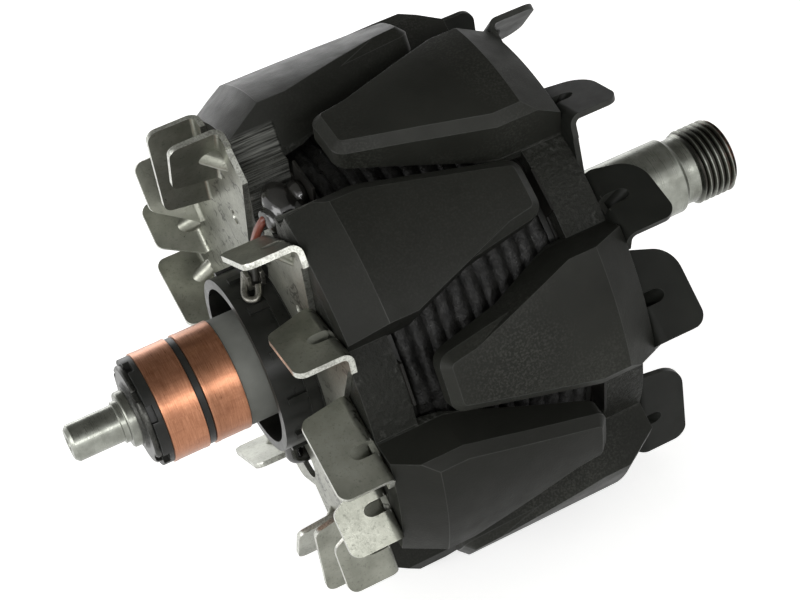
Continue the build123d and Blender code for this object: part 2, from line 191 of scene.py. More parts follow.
def place(tree, scale=(1, 1, 1)):
    # object coordinates in millimetres, stretched along an axis where a finish runs that way
    coordinates = tree.nodes.new("ShaderNodeTexCoord")
    mapping = tree.nodes.new("ShaderNodeMapping")
    mapping.inputs["Scale"].default_value = tuple(1000 * s for s in scale)
    tree.links.new(coordinates.outputs["Object"], mapping.inputs["Vector"])
    return mapping.outputs["Vector"]


def grain(tree, vector, scale, detail, roughness=0.55):
    texture = tree.nodes.new("ShaderNodeTexNoise")
    texture.inputs["Scale"].default_value = scale
    texture.inputs["Detail"].default_value = detail
    texture.inputs["Roughness"].default_value = roughness
    tree.links.new(vector, texture.inputs["Vector"])
    return texture.outputs["Fac"]


def levels(tree, factor, low, high, fromLow=0.3, fromHigh=0.7):
    node = tree.nodes.new("ShaderNodeMapRange")
    node.inputs["From Min"].default_value = fromLow
    node.inputs["From Max"].default_value = fromHigh
    node.inputs["To Min"].default_value = low
    node.inputs["To Max"].default_value = high
    tree.links.new(factor, node.inputs["Value"])
    return node.outputs["Result"]


def feed(tree, sockets, values):
    # each socket takes a number, a colour or another node's output
    for socket, value in zip(sockets, values):
        if isinstance(value, tuple):
            socket.default_value = (*value, 1)
        elif isinstance(value, (int, float)):
            socket.default_value = value
        else:
            tree.links.new(value, socket)


def sums(tree, operation, first, second=0):
    node = tree.nodes.new("ShaderNodeMath")
    node.operation = operation
    feed(tree, node.inputs, (first, second))
    return node.outputs["Value"]


def product(tree, *factors):
    result = factors[0]
    for factor in factors[1:]:
        result = sums(tree, "MULTIPLY", result, factor)
    return result


def relief(tree, shader, height, strength, distance, after=None):
    # bumps of so many millimetres, laid over the bumps that came before
    node = tree.nodes.new("ShaderNodeBump")
    node.inputs["Strength"].default_value = strength
    node.inputs["Distance"].default_value = distance * mm
    tree.links.new(height, node.inputs["Height"])
    if after is not None:
        tree.links.new(after, node.inputs["Normal"])
    tree.links.new(node.outputs["Normal"], shader.inputs["Normal"])
    return node.outputs["Normal"]


def blendColours(tree, factor, first, second):
    node = tree.nodes.new("ShaderNodeMix")
    node.data_type = "RGBA"
    sockets = [socket for socket in node.inputs if socket.type in ("VALUE", "RGBA") and socket.enabled]
    feed(tree, sockets, (factor, first, second))
    return next(socket for socket in node.outputs if socket.enabled)


def shaftPlace(tree):
    # distance along the shaft, distance from it, and the angle round it, in millimetres and radians
    split = tree.nodes.new("ShaderNodeSeparateXYZ")
    tree.links.new(place(tree), split.inputs["Vector"])
    x, y, z = (split.outputs[axis] for axis in "XYZ")
    squares = sums(tree, "ADD", product(tree, y, y), product(tree, z, z))
    return x, sums(tree, "SQRT", squares), sums(tree, "ARCTAN2", z, y)


def joined(tree, x, y, z):
    node = tree.nodes.new("ShaderNodeCombineXYZ")
    feed(tree, node.inputs, (x, y, z))
    return node.outputs["Vector"]


def wearColour(tree, shader, colour):
    tree.links.new(colour, shader.inputs["Base Color"])


def wearRoughness(tree, shader, pattern, low, high):
    tree.links.new(levels(tree, pattern, low, high), shader.inputs["Roughness"])


def clawPaintMaterial(name, speckShare, shade=1.0):
    # satin black paint on forged steel; one sawn valley at the back keeps fine lines along the shaft
    paint = {
        "colour": (0.0115, 0.0119, 0.0099), "dust": (0.0215, 0.0222, 0.0188), "speck": (0.052, 0.053, 0.046),
        "scuff": (0.055, 0.056, 0.051), "lineColour": (0.15, 0.152, 0.14), "gloss": 0.13, "roughness": (0.40, 0.52),
        # sizes of the patterns, per millimetre
        "cloudScale": 0.045, "fineScale": 2.2, "groupScale": 0.03, "gritScale": 0.9, "scuffScale": 0.16,
        "satinScale": 0.25, "plainRoughness": 0.46,
        # where a pattern starts to show and where it shows in full, and how much of its colour it then gives
        "groupBand": (0.42, 0.58), "speckBand": (0.45, 0.7), "gritBand": (0.52, 0.68), "scuffBand": (0.46, 0.6),
        "lineBand": (0.42, 0.62), "gritShare": 0.9, "lineShare": 0.9,
        # bumps, as (strength, height in millimetres)
        "fineBump": (0.5, 0.06), "cloudBump": (0.2, 0.5), "gritBump": (0.8, 0.5), "lineBump": (1.0, 0.35),
        # the floors of the valleys are rough up to this radius
        "floorRadius": 45.0, "floorSoftness": 0.3,
        # the sawn valley, by its angles round the shaft, its outer radius and its front end
        "sawnFrom": 1.73, "sawnTo": 2.36, "sawnEdge": 0.03, "sawnRadius": 50.5, "sawnFade": 0.8,
        "sawnEnd": (-60.4, -60.0), "linePitch": 0.6, "lineLength": 0.06, "lineRadius": 44,
    }
    material, tree, shader = newMaterial(name, paint["colour"], paint["plainRoughness"], 0.0, paint["gloss"])
    vector = place(tree)
    cloud = grain(tree, vector, paint["cloudScale"], 4)
    fine = grain(tree, vector, paint["fineScale"], 2)
    # shade sets how much of the pale dust the clouds give; below 1 it is painted shade
    colour = blendColours(tree, levels(tree, cloud, 0, shade), paint["colour"], paint["dust"])
    groups = levels(tree, grain(tree, vector, paint["groupScale"], 2), 0, 1, *paint["groupBand"])
    specks = product(tree, levels(tree, fine, 0, speckShare, *paint["speckBand"]), groups)
    colour = blendColours(tree, specks, colour, paint["speck"])
    x, away, turn = shaftPlace(tree)
    across = sums(tree, "ADD", product(tree, turn, paint["lineRadius"] / paint["linePitch"]),
                  sums(tree, "DIVIDE", away, paint["linePitch"]))
    lines = grain(tree, joined(tree, product(tree, x, paint["lineLength"]), across, 0), 1.0, 3, 0.65)
    floor = levels(tree, away, 1, 0, paint["floorRadius"] - paint["floorSoftness"], paint["floorRadius"])
    sawn = product(
        tree,
        levels(tree, turn, 0, 1, paint["sawnFrom"] - paint["sawnEdge"], paint["sawnFrom"] + paint["sawnEdge"]),
        levels(tree, turn, 1, 0, paint["sawnTo"] - paint["sawnEdge"], paint["sawnTo"] + paint["sawnEdge"]),
        levels(tree, x, 1, 0, *paint["sawnEnd"]),
        levels(tree, away, 1, 0, paint["sawnRadius"] - paint["sawnFade"], paint["sawnRadius"]),
    )
    grit = grain(tree, vector, paint["gritScale"], 4, 0.65)
    scuffs = product(tree, levels(tree, grit, 0, paint["gritShare"], *paint["gritBand"]),
                     levels(tree, grain(tree, vector, paint["scuffScale"], 3), 0, 1, *paint["scuffBand"]))
    colour = blendColours(tree, product(tree, floor, scuffs), colour, paint["scuff"])
    sawnMarks = product(tree, sawn, levels(tree, lines, 0, paint["lineShare"], *paint["lineBand"]))
    wearColour(tree, shader, blendColours(tree, sawnMarks, colour, paint["lineColour"]))
    wearRoughness(tree, shader, grain(tree, vector, paint["satinScale"], 3), *paint["roughness"])
    skin = relief(tree, shader, fine, *paint["fineBump"])
    skin = relief(tree, shader, cloud, *paint["cloudBump"], skin)
    skin = relief(tree, shader, product(tree, floor, grit), *paint["gritBump"], skin)
    relief(tree, shader, product(tree, sawn, lines), *paint["lineBump"], skin)
    return material


def fanPaintMaterial():
    # thin satin black on the front fan
    paint = {"colour": (0.0115, 0.012, 0.0105), "deep": (0.009, 0.0095, 0.008), "pale": (0.017, 0.018, 0.0155),
             "gloss": 0.12, "plainRoughness": 0.42, "roughness": (0.38, 0.50), "patchScale": 0.08,
             "satinScale": 0.3, "fineScale": 1.2, "fineBump": (0.12, 0.05)}
    material, tree, shader = newMaterial("fanPaint", paint["colour"], paint["plainRoughness"], 0.0, paint["gloss"])
    vector = place(tree)
    patches = levels(tree, grain(tree, vector, paint["patchScale"], 3), 0, 1)
    wearColour(tree, shader, blendColours(tree, patches, paint["deep"], paint["pale"]))
    wearRoughness(tree, shader, grain(tree, vector, paint["satinScale"], 3), *paint["roughness"])
    relief(tree, shader, grain(tree, vector, paint["fineScale"], 3), *paint["fineBump"])
    return material


def fanSteelMaterial(name, metallic):
    # bare rolled sheet: grey-green, with thin dark creases on the flat and specks all over
    sheet = {
        "dark": (0.185, 0.19, 0.158), "light": (0.32, 0.325, 0.28), "stain": (0.040, 0.040, 0.032),
        "plainRoughness": 0.38, "roughness": (0.27, 0.42), "patchScale": 0.11, "creaseScale": 0.17,
        "creaseStretch": (1.0, 0.45, 0.8), "creaseWidth": (0.002, 0.024), "groupScale": 0.3, "speckScale": 1.5,
        "patchBand": (0.35, 0.65), "groupBand": (0.44, 0.53), "speckBand": (0.56, 0.76), "speckShare": 0.6,
        "speckBump": (0.3, 0.06), "creaseBump": (-0.4, 0.15), "patchBump": (0.08, 0.3),
        # creases show on the flat plate only and fade out where the blades rise
        "plate": (-71.6, -70.8),
    }
    material, tree, shader = newMaterial(name, sheet["light"], sheet["plainRoughness"], metallic)
    vector = place(tree)
    patches = grain(tree, vector, sheet["patchScale"], 5, 0.6)
    wander = grain(tree, place(tree, sheet["creaseStretch"]), sheet["creaseScale"], 3, 0.6)
    ridges = levels(tree, sums(tree, "ABSOLUTE", sums(tree, "SUBTRACT", wander, 0.5)), 1, 0, *sheet["creaseWidth"])
    groups = levels(tree, grain(tree, vector, sheet["groupScale"], 3), 0, 1, *sheet["groupBand"])
    specks = grain(tree, vector, sheet["speckScale"], 4, 0.7)
    colour = blendColours(tree, levels(tree, patches, 0, 1, *sheet["patchBand"]), sheet["dark"], sheet["light"])
    x = shaftPlace(tree)[0]
    creases = product(tree, levels(tree, x, 0, 1, *sheet["plate"]), product(tree, ridges, groups))
    colour = blendColours(tree, creases, colour, sheet["stain"])
    speckled = levels(tree, specks, 0, sheet["speckShare"], *sheet["speckBand"])
    wearColour(tree, shader, blendColours(tree, speckled, colour, sheet["stain"]))
    wearRoughness(tree, shader, specks, *sheet["roughness"])
    skin = relief(tree, shader, specks, *sheet["speckBump"])
    skin = relief(tree, shader, creases, *sheet["creaseBump"], skin)
    relief(tree, shader, patches, *sheet["patchBump"], skin)
    return material


def grainySteelMaterial(name, dark, bright):
    # torn, grainy metal: the bright edge that the press left round the sheet, the forks, the washer
    torn = {"scale": 2.4, "patchScale": 0.3, "patchLift": 0.5, "band": (0.35, 0.62), "roughness": 0.34,
            "metallic": 0.9, "bump": (0.3, 0.06)}
    material, tree, shader = newMaterial(name, bright, torn["roughness"], torn["metallic"])
    vector = place(tree)
    grains = grain(tree, vector, torn["scale"], 4, 0.7)
    patches = grain(tree, vector, torn["patchScale"], 3)
    pattern = levels(tree, product(tree, grains, sums(tree, "ADD", patches, torn["patchLift"])), 0, 1, *torn["band"])
    wearColour(tree, shader, blendColours(tree, pattern, dark, bright))
    relief(tree, shader, grains, *torn["bump"])
    return material


def trackCopperMaterial():
    # copper polished round and round by the brushes
    track = {"dark": (0.30, 0.125, 0.066), "bright": (0.53, 0.255, 0.152), "burnt": (0.19, 0.075, 0.044),
             "plainRoughness": 0.36, "roughness": (0.26, 0.42), "poreScale": 2.6,
             "burntBand": (0.5, 0.72), "burntShare": 0.55, "poreBand": (0.5, 0.7), "poreShare": 0.2,
             "lineBump": (0.5, 0.03), "poreBump": (0.18, 0.1),
             # lines and burnt patches, as (per millimetre of shaft, per radian round it)
             "lines": (5.0, 2.5), "patches": (0.10, 3.2)}
    material, tree, shader = newMaterial("trackCopper", track["bright"], track["plainRoughness"], 1.0)
    x, _, turn = shaftPlace(tree)
    rings, patches = (
        grain(tree, joined(tree, product(tree, x, along), product(tree, turn, around), 0), 1.0, 4, roughness)
        for (along, around), roughness in ((track["lines"], 0.7), (track["patches"], 0.6)))
    pores = grain(tree, place(tree), track["poreScale"], 2, 0.6)
    colour = blendColours(tree, levels(tree, rings, 0, 1), track["dark"], track["bright"])
    burnt = levels(tree, patches, 0, track["burntShare"], *track["burntBand"])
    colour = blendColours(tree, burnt, colour, track["burnt"])
    pitted = levels(tree, pores, 0, track["poreShare"], *track["poreBand"])
    wearColour(tree, shader, blendColours(tree, pitted, colour, track["burnt"]))
    wearRoughness(tree, shader, rings, *track["roughness"])
    skin = relief(tree, shader, rings, *track["lineBump"])
    relief(tree, shader, sums(tree, "ADD", pores, patches), *track["poreBump"], skin)
    return material


def turnedSteelMaterial():
    # ground shaft with faint turning marks, painted shade in the thread's grooves, a darker rear collar, and rust at
    # the drive end
    ground = {
        "dark": (0.16, 0.165, 0.143), "bright": (0.34, 0.35, 0.315), "rust": (0.20, 0.10, 0.07),
        "grooveShadeAndCollarDark": (0.045, 0.043, 0.037), "plainRoughness": 0.3, "roughness": (0.24, 0.38), "linesPerMm": 4.0,
        "lineBump": (0.2, 0.03), "patchScale": 0.22, "rustScale": 0.9, "rustBand": (0.45, 0.6), "rustShare": 0.8,
        # where each lies, as a fade along the shaft and a fade away from it
        "threadFrom": (26.6, 27.4), "grooveInside": (7.8, 8.3),
        "collarUpTo": (-104.7, -104.4), "collarOutside": (4.45, 4.6), "collarShare": 0.3,
        "rustFrom": (33.5, 36.5),
    }
    material, tree, shader = newMaterial("turnedSteel", ground["bright"], ground["plainRoughness"], 1.0)
    x, away, turn = shaftPlace(tree)
    marks = joined(tree, product(tree, x, ground["linesPerMm"]), product(tree, away, ground["linesPerMm"]), turn)
    rings = grain(tree, marks, 1.0, 3, 0.6)
    vector = place(tree)
    patches = grain(tree, vector, ground["patchScale"], 4)
    colour = blendColours(tree, levels(tree, patches, 0, 1), ground["dark"], ground["bright"])
    # the thread's grooves darker than its crests: painted shade
    groove = product(tree, levels(tree, x, 0, 1, *ground["threadFrom"]),
                     levels(tree, away, 1, 0, *ground["grooveInside"]))
    colour = blendColours(tree, groove, colour, ground["grooveShadeAndCollarDark"])
    # the rear collar next to the washer darker
    collar = product(tree, levels(tree, x, ground["collarShare"], 0, *ground["collarUpTo"]),
                     levels(tree, away, 0, 1, *ground["collarOutside"]))
    colour = blendColours(tree, collar, colour, ground["grooveShadeAndCollarDark"])
    spots = levels(tree, grain(tree, vector, ground["rustScale"], 3), 0, ground["rustShare"], *ground["rustBand"])
    rusty = product(tree, levels(tree, x, 0, 1, *ground["rustFrom"]), spots)
    wearColour(tree, shader, blendColours(tree, rusty, colour, ground["rust"]))
    wearRoughness(tree, shader, rings, *ground["roughness"])
    relief(tree, shader, rings, *ground["lineBump"])
    return material


def mouldedMaterial(name, colour, pale, roughness, gloss, speck=1.4):
    # one even colour with paler patches: mouldings, board, sleeving, and the paler edge colours, which are partly
    # rubbed wear and partly painted highlight
    moulded = {"patchScale": 0.22, "smoother": 0.06, "rougher": 0.08, "speckBump": (0.16, 0.06)}
    material, tree, shader = newMaterial(name, colour, roughness, 0.0, gloss)
    vector = place(tree)
    patches = grain(tree, vector, moulded["patchScale"], 4)
    wearColour(tree, shader, blendColours(tree, levels(tree, patches, 0, 1), colour, pale))
    wearRoughness(tree, shader, patches, roughness - moulded["smoother"], roughness + moulded["rougher"])
    relief(tree, shader, grain(tree, vector, speck, 3), *moulded["speckBump"])
    return material


def tapeMaterial():
    # varnished cloth tape, darker in patches and shiny where the varnish pooled
    varnish = {"deep": (0.0025, 0.0025, 0.0022), "cloth": (0.0105, 0.0102, 0.0090), "gloss": 0.34,
               "plainRoughness": 0.4, "roughness": (0.26, 0.7), "patchScale": 0.5, "poolScale": 0.8,
               "weaveScale": 1.4, "weaveBump": (0.8, 0.35)}
    material, tree, shader = newMaterial("windingTape", varnish["cloth"], varnish["plainRoughness"], 0.0,
                                         varnish["gloss"])
    vector = place(tree)
    patches = levels(tree, grain(tree, vector, varnish["patchScale"], 4), 0, 1)
    wearColour(tree, shader, blendColours(tree, patches, varnish["deep"], varnish["cloth"]))
    wearRoughness(tree, shader, grain(tree, vector, varnish["poolScale"], 3), *varnish["roughness"])
    relief(tree, shader, grain(tree, vector, varnish["weaveScale"], 4, 0.65), *varnish["weaveBump"])
    return material


def enamelMaterial():
    # red-brown varnished wire, dark grey where its ends run under the rear fan to the terminals: painted shade
    wire = {"deep": (0.125, 0.028, 0.016), "pale": (0.185, 0.048, 0.028), "shadedEnd": (0.035, 0.034, 0.030),
            "roughness": 0.34, "patchScale": 0.5, "fineScale": 1.2, "fineBump": (0.2, 0.06),
            # painted shade inside this radius and behind this place on the shaft, with a fade
            "shadeInside": (25.5, 27.0), "shadeBehind": (-66, -64)}
    material, tree, shader = newMaterial("enamelledWire", wire["deep"], wire["roughness"])
    vector = place(tree)
    patches = levels(tree, grain(tree, vector, wire["patchScale"], 3), 0, 1)
    colour = blendColours(tree, patches, wire["deep"], wire["pale"])
    x, away, _ = shaftPlace(tree)
    shadedEnds = product(tree, levels(tree, away, 1, 0, *wire["shadeInside"]), levels(tree, x, 1, 0, *wire["shadeBehind"]))
    wearColour(tree, shader, blendColours(tree, shadedEnds, colour, wire["shadedEnd"]))
    relief(tree, shader, grain(tree, vector, wire["fineScale"], 2), *wire["fineBump"])
    return material


print("scene: materials")
# the rear claws get fewer specks and less pale dust than the front ones: partly the grain each shows, partly painted
# light that keeps the rear darker and the front paler
rearClawPaint = clawPaintMaterial("rearClawPaint", 0.15, 0.4)
frontClawPaint = clawPaintMaterial("frontClawPaint", 0.7)
fanPaint = fanPaintMaterial()
fanSteel = fanSteelMaterial("fanSteel", 0.8)
# the dents' copy of the sheet is mostly non-metal, so its floors take up the soft light: painted light in place of the
# light bounced into them
litDentSteel = fanSteelMaterial("litDentSteel", 0.2)
copper = trackCopperMaterial()
steel = turnedSteelMaterial()
tape = tapeMaterial()
enamel = enamelMaterial()
# name, darker and brighter colour
shearedSteel, terminalMetal, washerSteel = (grainySteelMaterial(*look) for look in (
    ("shearedSteel", (0.30, 0.30, 0.27), (0.62, 0.63, 0.58)),
    ("terminalMetal", (0.08, 0.078, 0.068), (0.22, 0.215, 0.19)),
    ("washerSteel", (0.018, 0.018, 0.016), (0.06, 0.06, 0.055)),
))
# name, colour, paler colour, roughness, gloss and, where it isn't the usual one, the scale of the specks
edgeWearAndSheen, blackMoulding, cupPlastic, cupEdgeWearAndSheen, greyCollar, board, sleeving = (mouldedMaterial(*look) for look in (
    # the two edge colours go on bevelled edges only; paler than what they border, they are partly rubbed wear and
    # partly a painted highlight
    ("paintEdgeWearAndSheen", (0.018, 0.0185, 0.016), (0.036, 0.037, 0.033), 0.38, 0.22),
    ("blackMoulding", (0.011, 0.0115, 0.0105), (0.020, 0.020, 0.018), 0.40, 0.25),
    ("cupPlastic", (0.0085, 0.009, 0.0078), (0.017, 0.0175, 0.0155), 0.32, 0.24),
    ("cupEdgeWearAndSheen", (0.055, 0.057, 0.052), (0.095, 0.098, 0.09), 0.42, 0.5),
    ("greyCollar", (0.165, 0.169, 0.155), (0.205, 0.21, 0.193), 0.6, 0.2, 2.2),
    ("insulatingBoard", (0.006, 0.0058, 0.005), (0.014, 0.013, 0.011), 0.5, 0.2),
    ("sleeving", (0.006, 0.0058, 0.005), (0.013, 0.012, 0.010), 0.20, 0.9),
))


def makeShaft():
    # all along the shaft, from the rear journal to the drive end, as (x, radius)
    shaft = {
        "turning": [(-118.6, 3.2), (-117.8, 4.0), (-108.0, 4.0), (-107.9, 4.5), (-106.8, 4.5), (-106.8, 5.7),
                    (-106.4, 6.0), (-69.6, 6.0), (-69.6, 9.0), (-11.6, 9.0), (-11.6, 8.8), (-7.0, 8.8), (-7.0, 8.5),
                    (22.75, 8.5), (23.0, 8.3), (23.75, 7.55), (24.4, 7.5), (25.7, 7.5), (26.2, 7.62),
                    (35.4, 7.62), (36.2, 7.05)],
        "rearCentre": [(-118.6, 1.6), (-116.7, 0.32), (-115.2, 0.3)],
        "driveCentre": [(36.2, 2.8), (32.3, 0.56), (29.2, 0.5)],
        "softness": 0.16, "sharperThan": 24, "shade": 50,
    }
    stations = list(reversed(shaft["rearCentre"])) + shaft["turning"] + shaft["driveCentre"]
    body = lathe("rotorShaft", stations, mesh["shaftSides"])
    return softEdges(body, shaft["softness"], shaft["sharperThan"], shadeDegrees=shaft["shade"])


def makeThread():
    # one ridge, screwed round the drive end and cut down to a slope at its start and at its end
    thread = {"pitch": 1.5, "root": 7.35, "crest": 8.4, "foot": 1.36, "flat": 0.24, "start": 25.4, "turns": 8,
              "steps": 72, "shade": 30,
              # the envelope that it is cut with, as (x, radius)
              "envelope": [(26.5, 7.25), (27.7, 8.7), (34.82, 8.7), (36.12, 7.25)]}
    dropSelection()
    middle = (thread["root"] + thread["crest"]) / 2
    bpy.ops.mesh.primitive_plane_add(size=1, location=(thread["start"] * mm, 0, middle * mm),
                                     rotation=(math.pi / 2, 0, 0))
    ridge = bpy.context.object
    ridge.scale = (thread["foot"] * mm, (thread["crest"] - thread["root"]) * mm, 1)
    settle(ridge)
    top = [vertex.index for vertex in ridge.data.vertices if vertex.co.z > middle * mm]
    bpy.ops.object.mode_set(mode="EDIT")
    bpy.ops.mesh.select_all(action="DESELECT")
    bpy.ops.object.mode_set(mode="OBJECT")
    for index in top:
        ridge.data.vertices[index].select = True
    bpy.ops.object.mode_set(mode="EDIT")
    share = thread["flat"] / thread["foot"]
    bpy.ops.transform.resize(value=(share, 1, 1), center_override=(thread["start"] * mm, 0, thread["crest"] * mm))
    bpy.ops.mesh.select_all(action="SELECT")
    bpy.ops.mesh.delete(type="ONLY_FACE")
    bpy.ops.object.mode_set(mode="OBJECT")
    screw = ridge.modifiers.new("thread", "SCREW")
    screw.axis = "X"
    screw.angle = 2 * math.pi
    screw.screw_offset = thread["pitch"] * mm
    screw.iterations = thread["turns"]
    screw.steps = screw.render_steps = thread["steps"]
    screw.use_smooth_shade = False
    applyModifiers(ridge)
    bpy.ops.object.mode_set(mode="EDIT")
    bpy.ops.mesh.select_all(action="DESELECT")
    bpy.ops.mesh.select_non_manifold()
    bpy.ops.mesh.fill()
    bpy.ops.mesh.select_all(action="SELECT")
    bpy.ops.mesh.normals_make_consistent(inside=False)
    bpy.ops.object.mode_set(mode="OBJECT")
    envelope = lathe("threadEnvelope", thread["envelope"], mesh["shaftSides"])
    cut = ridge.modifiers.new("runOut", "BOOLEAN")
    cut.operation = "INTERSECT"
    cut.solver = "EXACT"
    cut.object = envelope
    applyModifiers(ridge)
    bpy.data.objects.remove(envelope, do_unlink=True)
    smooth(ridge, thread["shade"])
    return ridge


def makeTrack(name, start, end):
    # a copper ring with soft edges and a shallow path worn by its brush
    track = {"inner": 10.4, "outer": 11.95, "edge": 0.22, "worn": 11.9, "wearEdge": 0.9, "wearSlope": 0.25}
    inner, outer, edge, wearEdge = track["inner"], track["outer"], track["edge"], track["wearEdge"]
    firstHalf = [(0, inner), (0, outer - edge), (edge / 2, outer), (wearEdge, outer),
                 (wearEdge + track["wearSlope"], track["worn"])]
    stations = [(start + x, radius) for x, radius in firstHalf]
    stations += [(end - x, radius) for x, radius in reversed(firstHalf)]
    return turnRing(name, stations)


def makeCollar():
    collar = {"start": -83.6, "end": -72.4, "inner": 10.4, "outer": 11.65, "edge": 0.15}
    start, end, inner, outer, edge = collar.values()
    return turnRing("spacerCollar", [(start, inner), (start, outer - edge), (start + edge, outer), (end - edge, outer),
                                     (end, outer), (end, inner)])


def makeRingMoulding():
    # the moulded body under the two rings, with the rib that parts them
    moulding = {"start": -100.7, "end": -72.4, "bore": 6.0, "bed": 10.4, "ribStart": -92.9, "ribEnd": -91.4,
                "ribRadius": 11.62, "edge": 0.12}
    start, end, bore, bed, low, high, rim, edge = moulding.values()
    return turnRing("ringMoulding", [(start, bore), (start, bed), (low, bed), (low, rim - edge), (low + edge, rim),
                                     (high - edge, rim), (high, rim - edge), (high, bed), (end, bed), (end, bore)])


print("scene: shaft, thread and slip rings")
wear(join([makeShaft(), makeThread()], "rotorShaft"), steel, "shaft_steel", "shaft")
wear(makeTrack("outerTrack", -100.7, -92.9), copper, "track_copper", "outer_slip_ring")
wear(makeTrack("innerTrack", -91.4, -83.6), copper, "track_copper", "inner_slip_ring")
wear(makeCollar(), greyCollar, "collar_grey", "spacer_collar")
wear(makeRingMoulding(), blackMoulding, "moulding_black", "slip_ring_moulding")

print("scene: pole pieces, cup, washers and fans")
edgeCare = {
    # node: (name, edge width, body material, rim material, slot)
    # a rim material paler than its body is partly wear and partly a painted highlight along the bevelled edges
    "rear_pole_piece": ("rearClaws", 0.55, rearClawPaint, edgeWearAndSheen, "claw_paint"),
    "front_pole_piece": ("frontClaws", 0.55, frontClawPaint, edgeWearAndSheen, "claw_paint"),
    "lead_cup": ("leadCup", 0.24, cupPlastic, cupEdgeWearAndSheen, "cup_black"),
    "end_ring": ("endRing", 0.14, blackMoulding, blackMoulding, "moulding_black"),
    "retaining_washer": ("retainingWasher", 0.12, washerSteel, washerSteel, "washer_steel"),
    "drive_spacer": ("driveSpacer", 0.2, steel, steel, "shaft_steel"),
    "rear_insulator": ("rearInsulator", 0.1, board, board, "board"),
    "front_insulator": ("frontInsulator", 0.1, board, board, "board"),
}
for node, (name, width, body, rim, slotName) in edgeCare.items():
    piece = copyOfNode(node, name)
    dress(piece, body, rim)
    softEdges(piece, width, rimSlot=1)
    finishSlots(piece, slotName, node)


def localThickness(piece):
    # how much metal lies behind each face, in millimetres
    tree = BVHTree.FromPolygons([vertex.co for vertex in piece.data.vertices],
                                [polygon.vertices for polygon in piece.data.polygons])
    depths = []
    for polygon in piece.data.polygons:
        start = polygon.center - polygon.normal * mesh["hair"] * mm
        hit = tree.ray_cast(start, -polygon.normal)
        depths.append(hit[3] / mm if hit[3] is not None else 0.0)
    return depths


ribDents = {
    # where the press dented the fold of each rear blade from outside
    # the blades' outer ends, and how far each blade leans from the radius
    "angles": (-140.0, -102.9, -82.0, -56.3, -34.9, -15.7, 14.2, 39.1, 79.0, 97.3, 129.7, 148.0, 166.3, 194.0),
    "tipRadius": 51.9, "lean": 33.3,
    # the dent's place along the fold, its half width, its depth and height together, and the plate's front face
    "place": 7.5, "radius": 1.45, "reach": 5.9, "foot": -69.6,
    # faces nearer the sheet's own faces than this, or turned outward more than this, belong to the sheet
    "skin": 0.02, "outward": 0.4,
}


def inDent(polygon):
    # whether a face of the rear fan lies in one of the dents
    center, facing = polygon.center / mm, polygon.normal
    height = ribDents["foot"] - center.x
    for angle in ribDents["angles"]:
        tip, heading = math.radians(angle), math.radians(angle + 180 - ribDents["lean"])
        out = (center.y + ribDents["tipRadius"] * math.cos(tip), center.z - ribDents["tipRadius"] * math.sin(tip))
        along = (-math.cos(heading), math.sin(heading))
        inward = (along[1], -along[0])
        spot = out[0] * along[0] + out[1] * along[1]
        depth = out[0] * inward[0] + out[1] * inward[1]
        opening = facing.y * inward[0] + facing.z * inward[1] - facing.x
        if (abs(spot - ribDents["place"]) < ribDents["radius"] and min(depth, height) > ribDents["skin"]
                and depth + height < ribDents["reach"] and opening < ribDents["outward"]):
            return True
    return False


def makeFan(node, name, slotName, *materials):
    # the pressing with a broken edge; the cut rim of the sheet gets its own finish, and the dents a less metallic copy
    # of the sheet, painted light in place of the light bounced into them
    fan = {"edge": 0.22, "sharperThan": 32, "rimDepth": 2.2, "rimArea": 60 * mm ** 2}
    piece = copyOfNode(node, name)
    dress(piece, *materials)
    for polygon, depth in zip(piece.data.polygons, localThickness(piece)):
        polygon.material_index = 1 if depth > fan["rimDepth"] and polygon.area < fan["rimArea"] else 0
        # dent faces take the lit copy of the sheet: painted light
        if len(materials) > 2 and inDent(polygon):
            polygon.material_index = 2
    softEdges(piece, fan["edge"], fan["sharperThan"], rimSlot=1)
    finishSlots(piece, slotName, node)


makeFan("rear_fan", "rearFan", "fan_steel", fanSteel, shearedSteel, litDentSteel)
# the front fan's rim takes the paler edge paint: partly wear, partly painted highlight
makeFan("front_fan", "frontFan", "fan_paint", fanPaint, edgeWearAndSheen)


def makeWinding():
    # taped winding: bands that bulge between their edges, drawn tight and wrinkled by the varnish
    winding = {
        "start": -58.8, "end": -22.4, "bands": 11, "inner": 39.4, "valley": 40.75, "crown": 41.55, "shade": 60,
        # one band, as (share of its width, share of its bulge)
        "band": ((0.02, 0.0), (0.12, 0.55), (0.3, 0.95), (0.5, 1.0), (0.7, 0.9), (0.86, 0.5)),
        # wrinkles and creases move only what lies outside this radius; each is (size, depth)
        "wrinkledOutside": 40, "wrinkles": (2.6, 0.9), "creases": (0.8, 0.6), "middle": 0.62,
    }
    pitch = (winding["end"] - winding["start"]) / winding["bands"]
    bulge = winding["crown"] - winding["valley"]
    stations = [(winding["start"], winding["inner"])]
    for band in range(winding["bands"]):
        edge = winding["start"] + band * pitch
        stations += [(edge + share * pitch, winding["valley"] + lift * bulge) for share, lift in winding["band"]]
    stations += [(winding["end"], winding["valley"]), (winding["end"], winding["inner"]), stations[0]]
    piece = lathe("tapedWinding", stations, mesh["windingSides"], closed=True)
    outside = piece.vertex_groups.new(name="outside")
    outside.add([vertex.index for vertex in piece.data.vertices
                 if math.hypot(vertex.co.y, vertex.co.z) > winding["wrinkledOutside"] * mm], 1.0, "REPLACE")
    for size, depth in (winding["wrinkles"], winding["creases"]):
        clouds = bpy.data.textures.new("wrinkles", "CLOUDS")
        clouds.noise_scale = size * mm
        clouds.noise_depth = 2
        ruffle = piece.modifiers.new("wrinkles", "DISPLACE")
        ruffle.texture = clouds
        ruffle.texture_coords = "LOCAL"
        ruffle.vertex_group = "outside"
        ruffle.mid_level = winding["middle"]
        ruffle.strength = depth * mm
    applyModifiers(piece)
    smooth(piece, winding["shade"])
    return piece


print("scene: winding and leads")
wear(makeWinding(), tape, "tape", "coil_wrap")

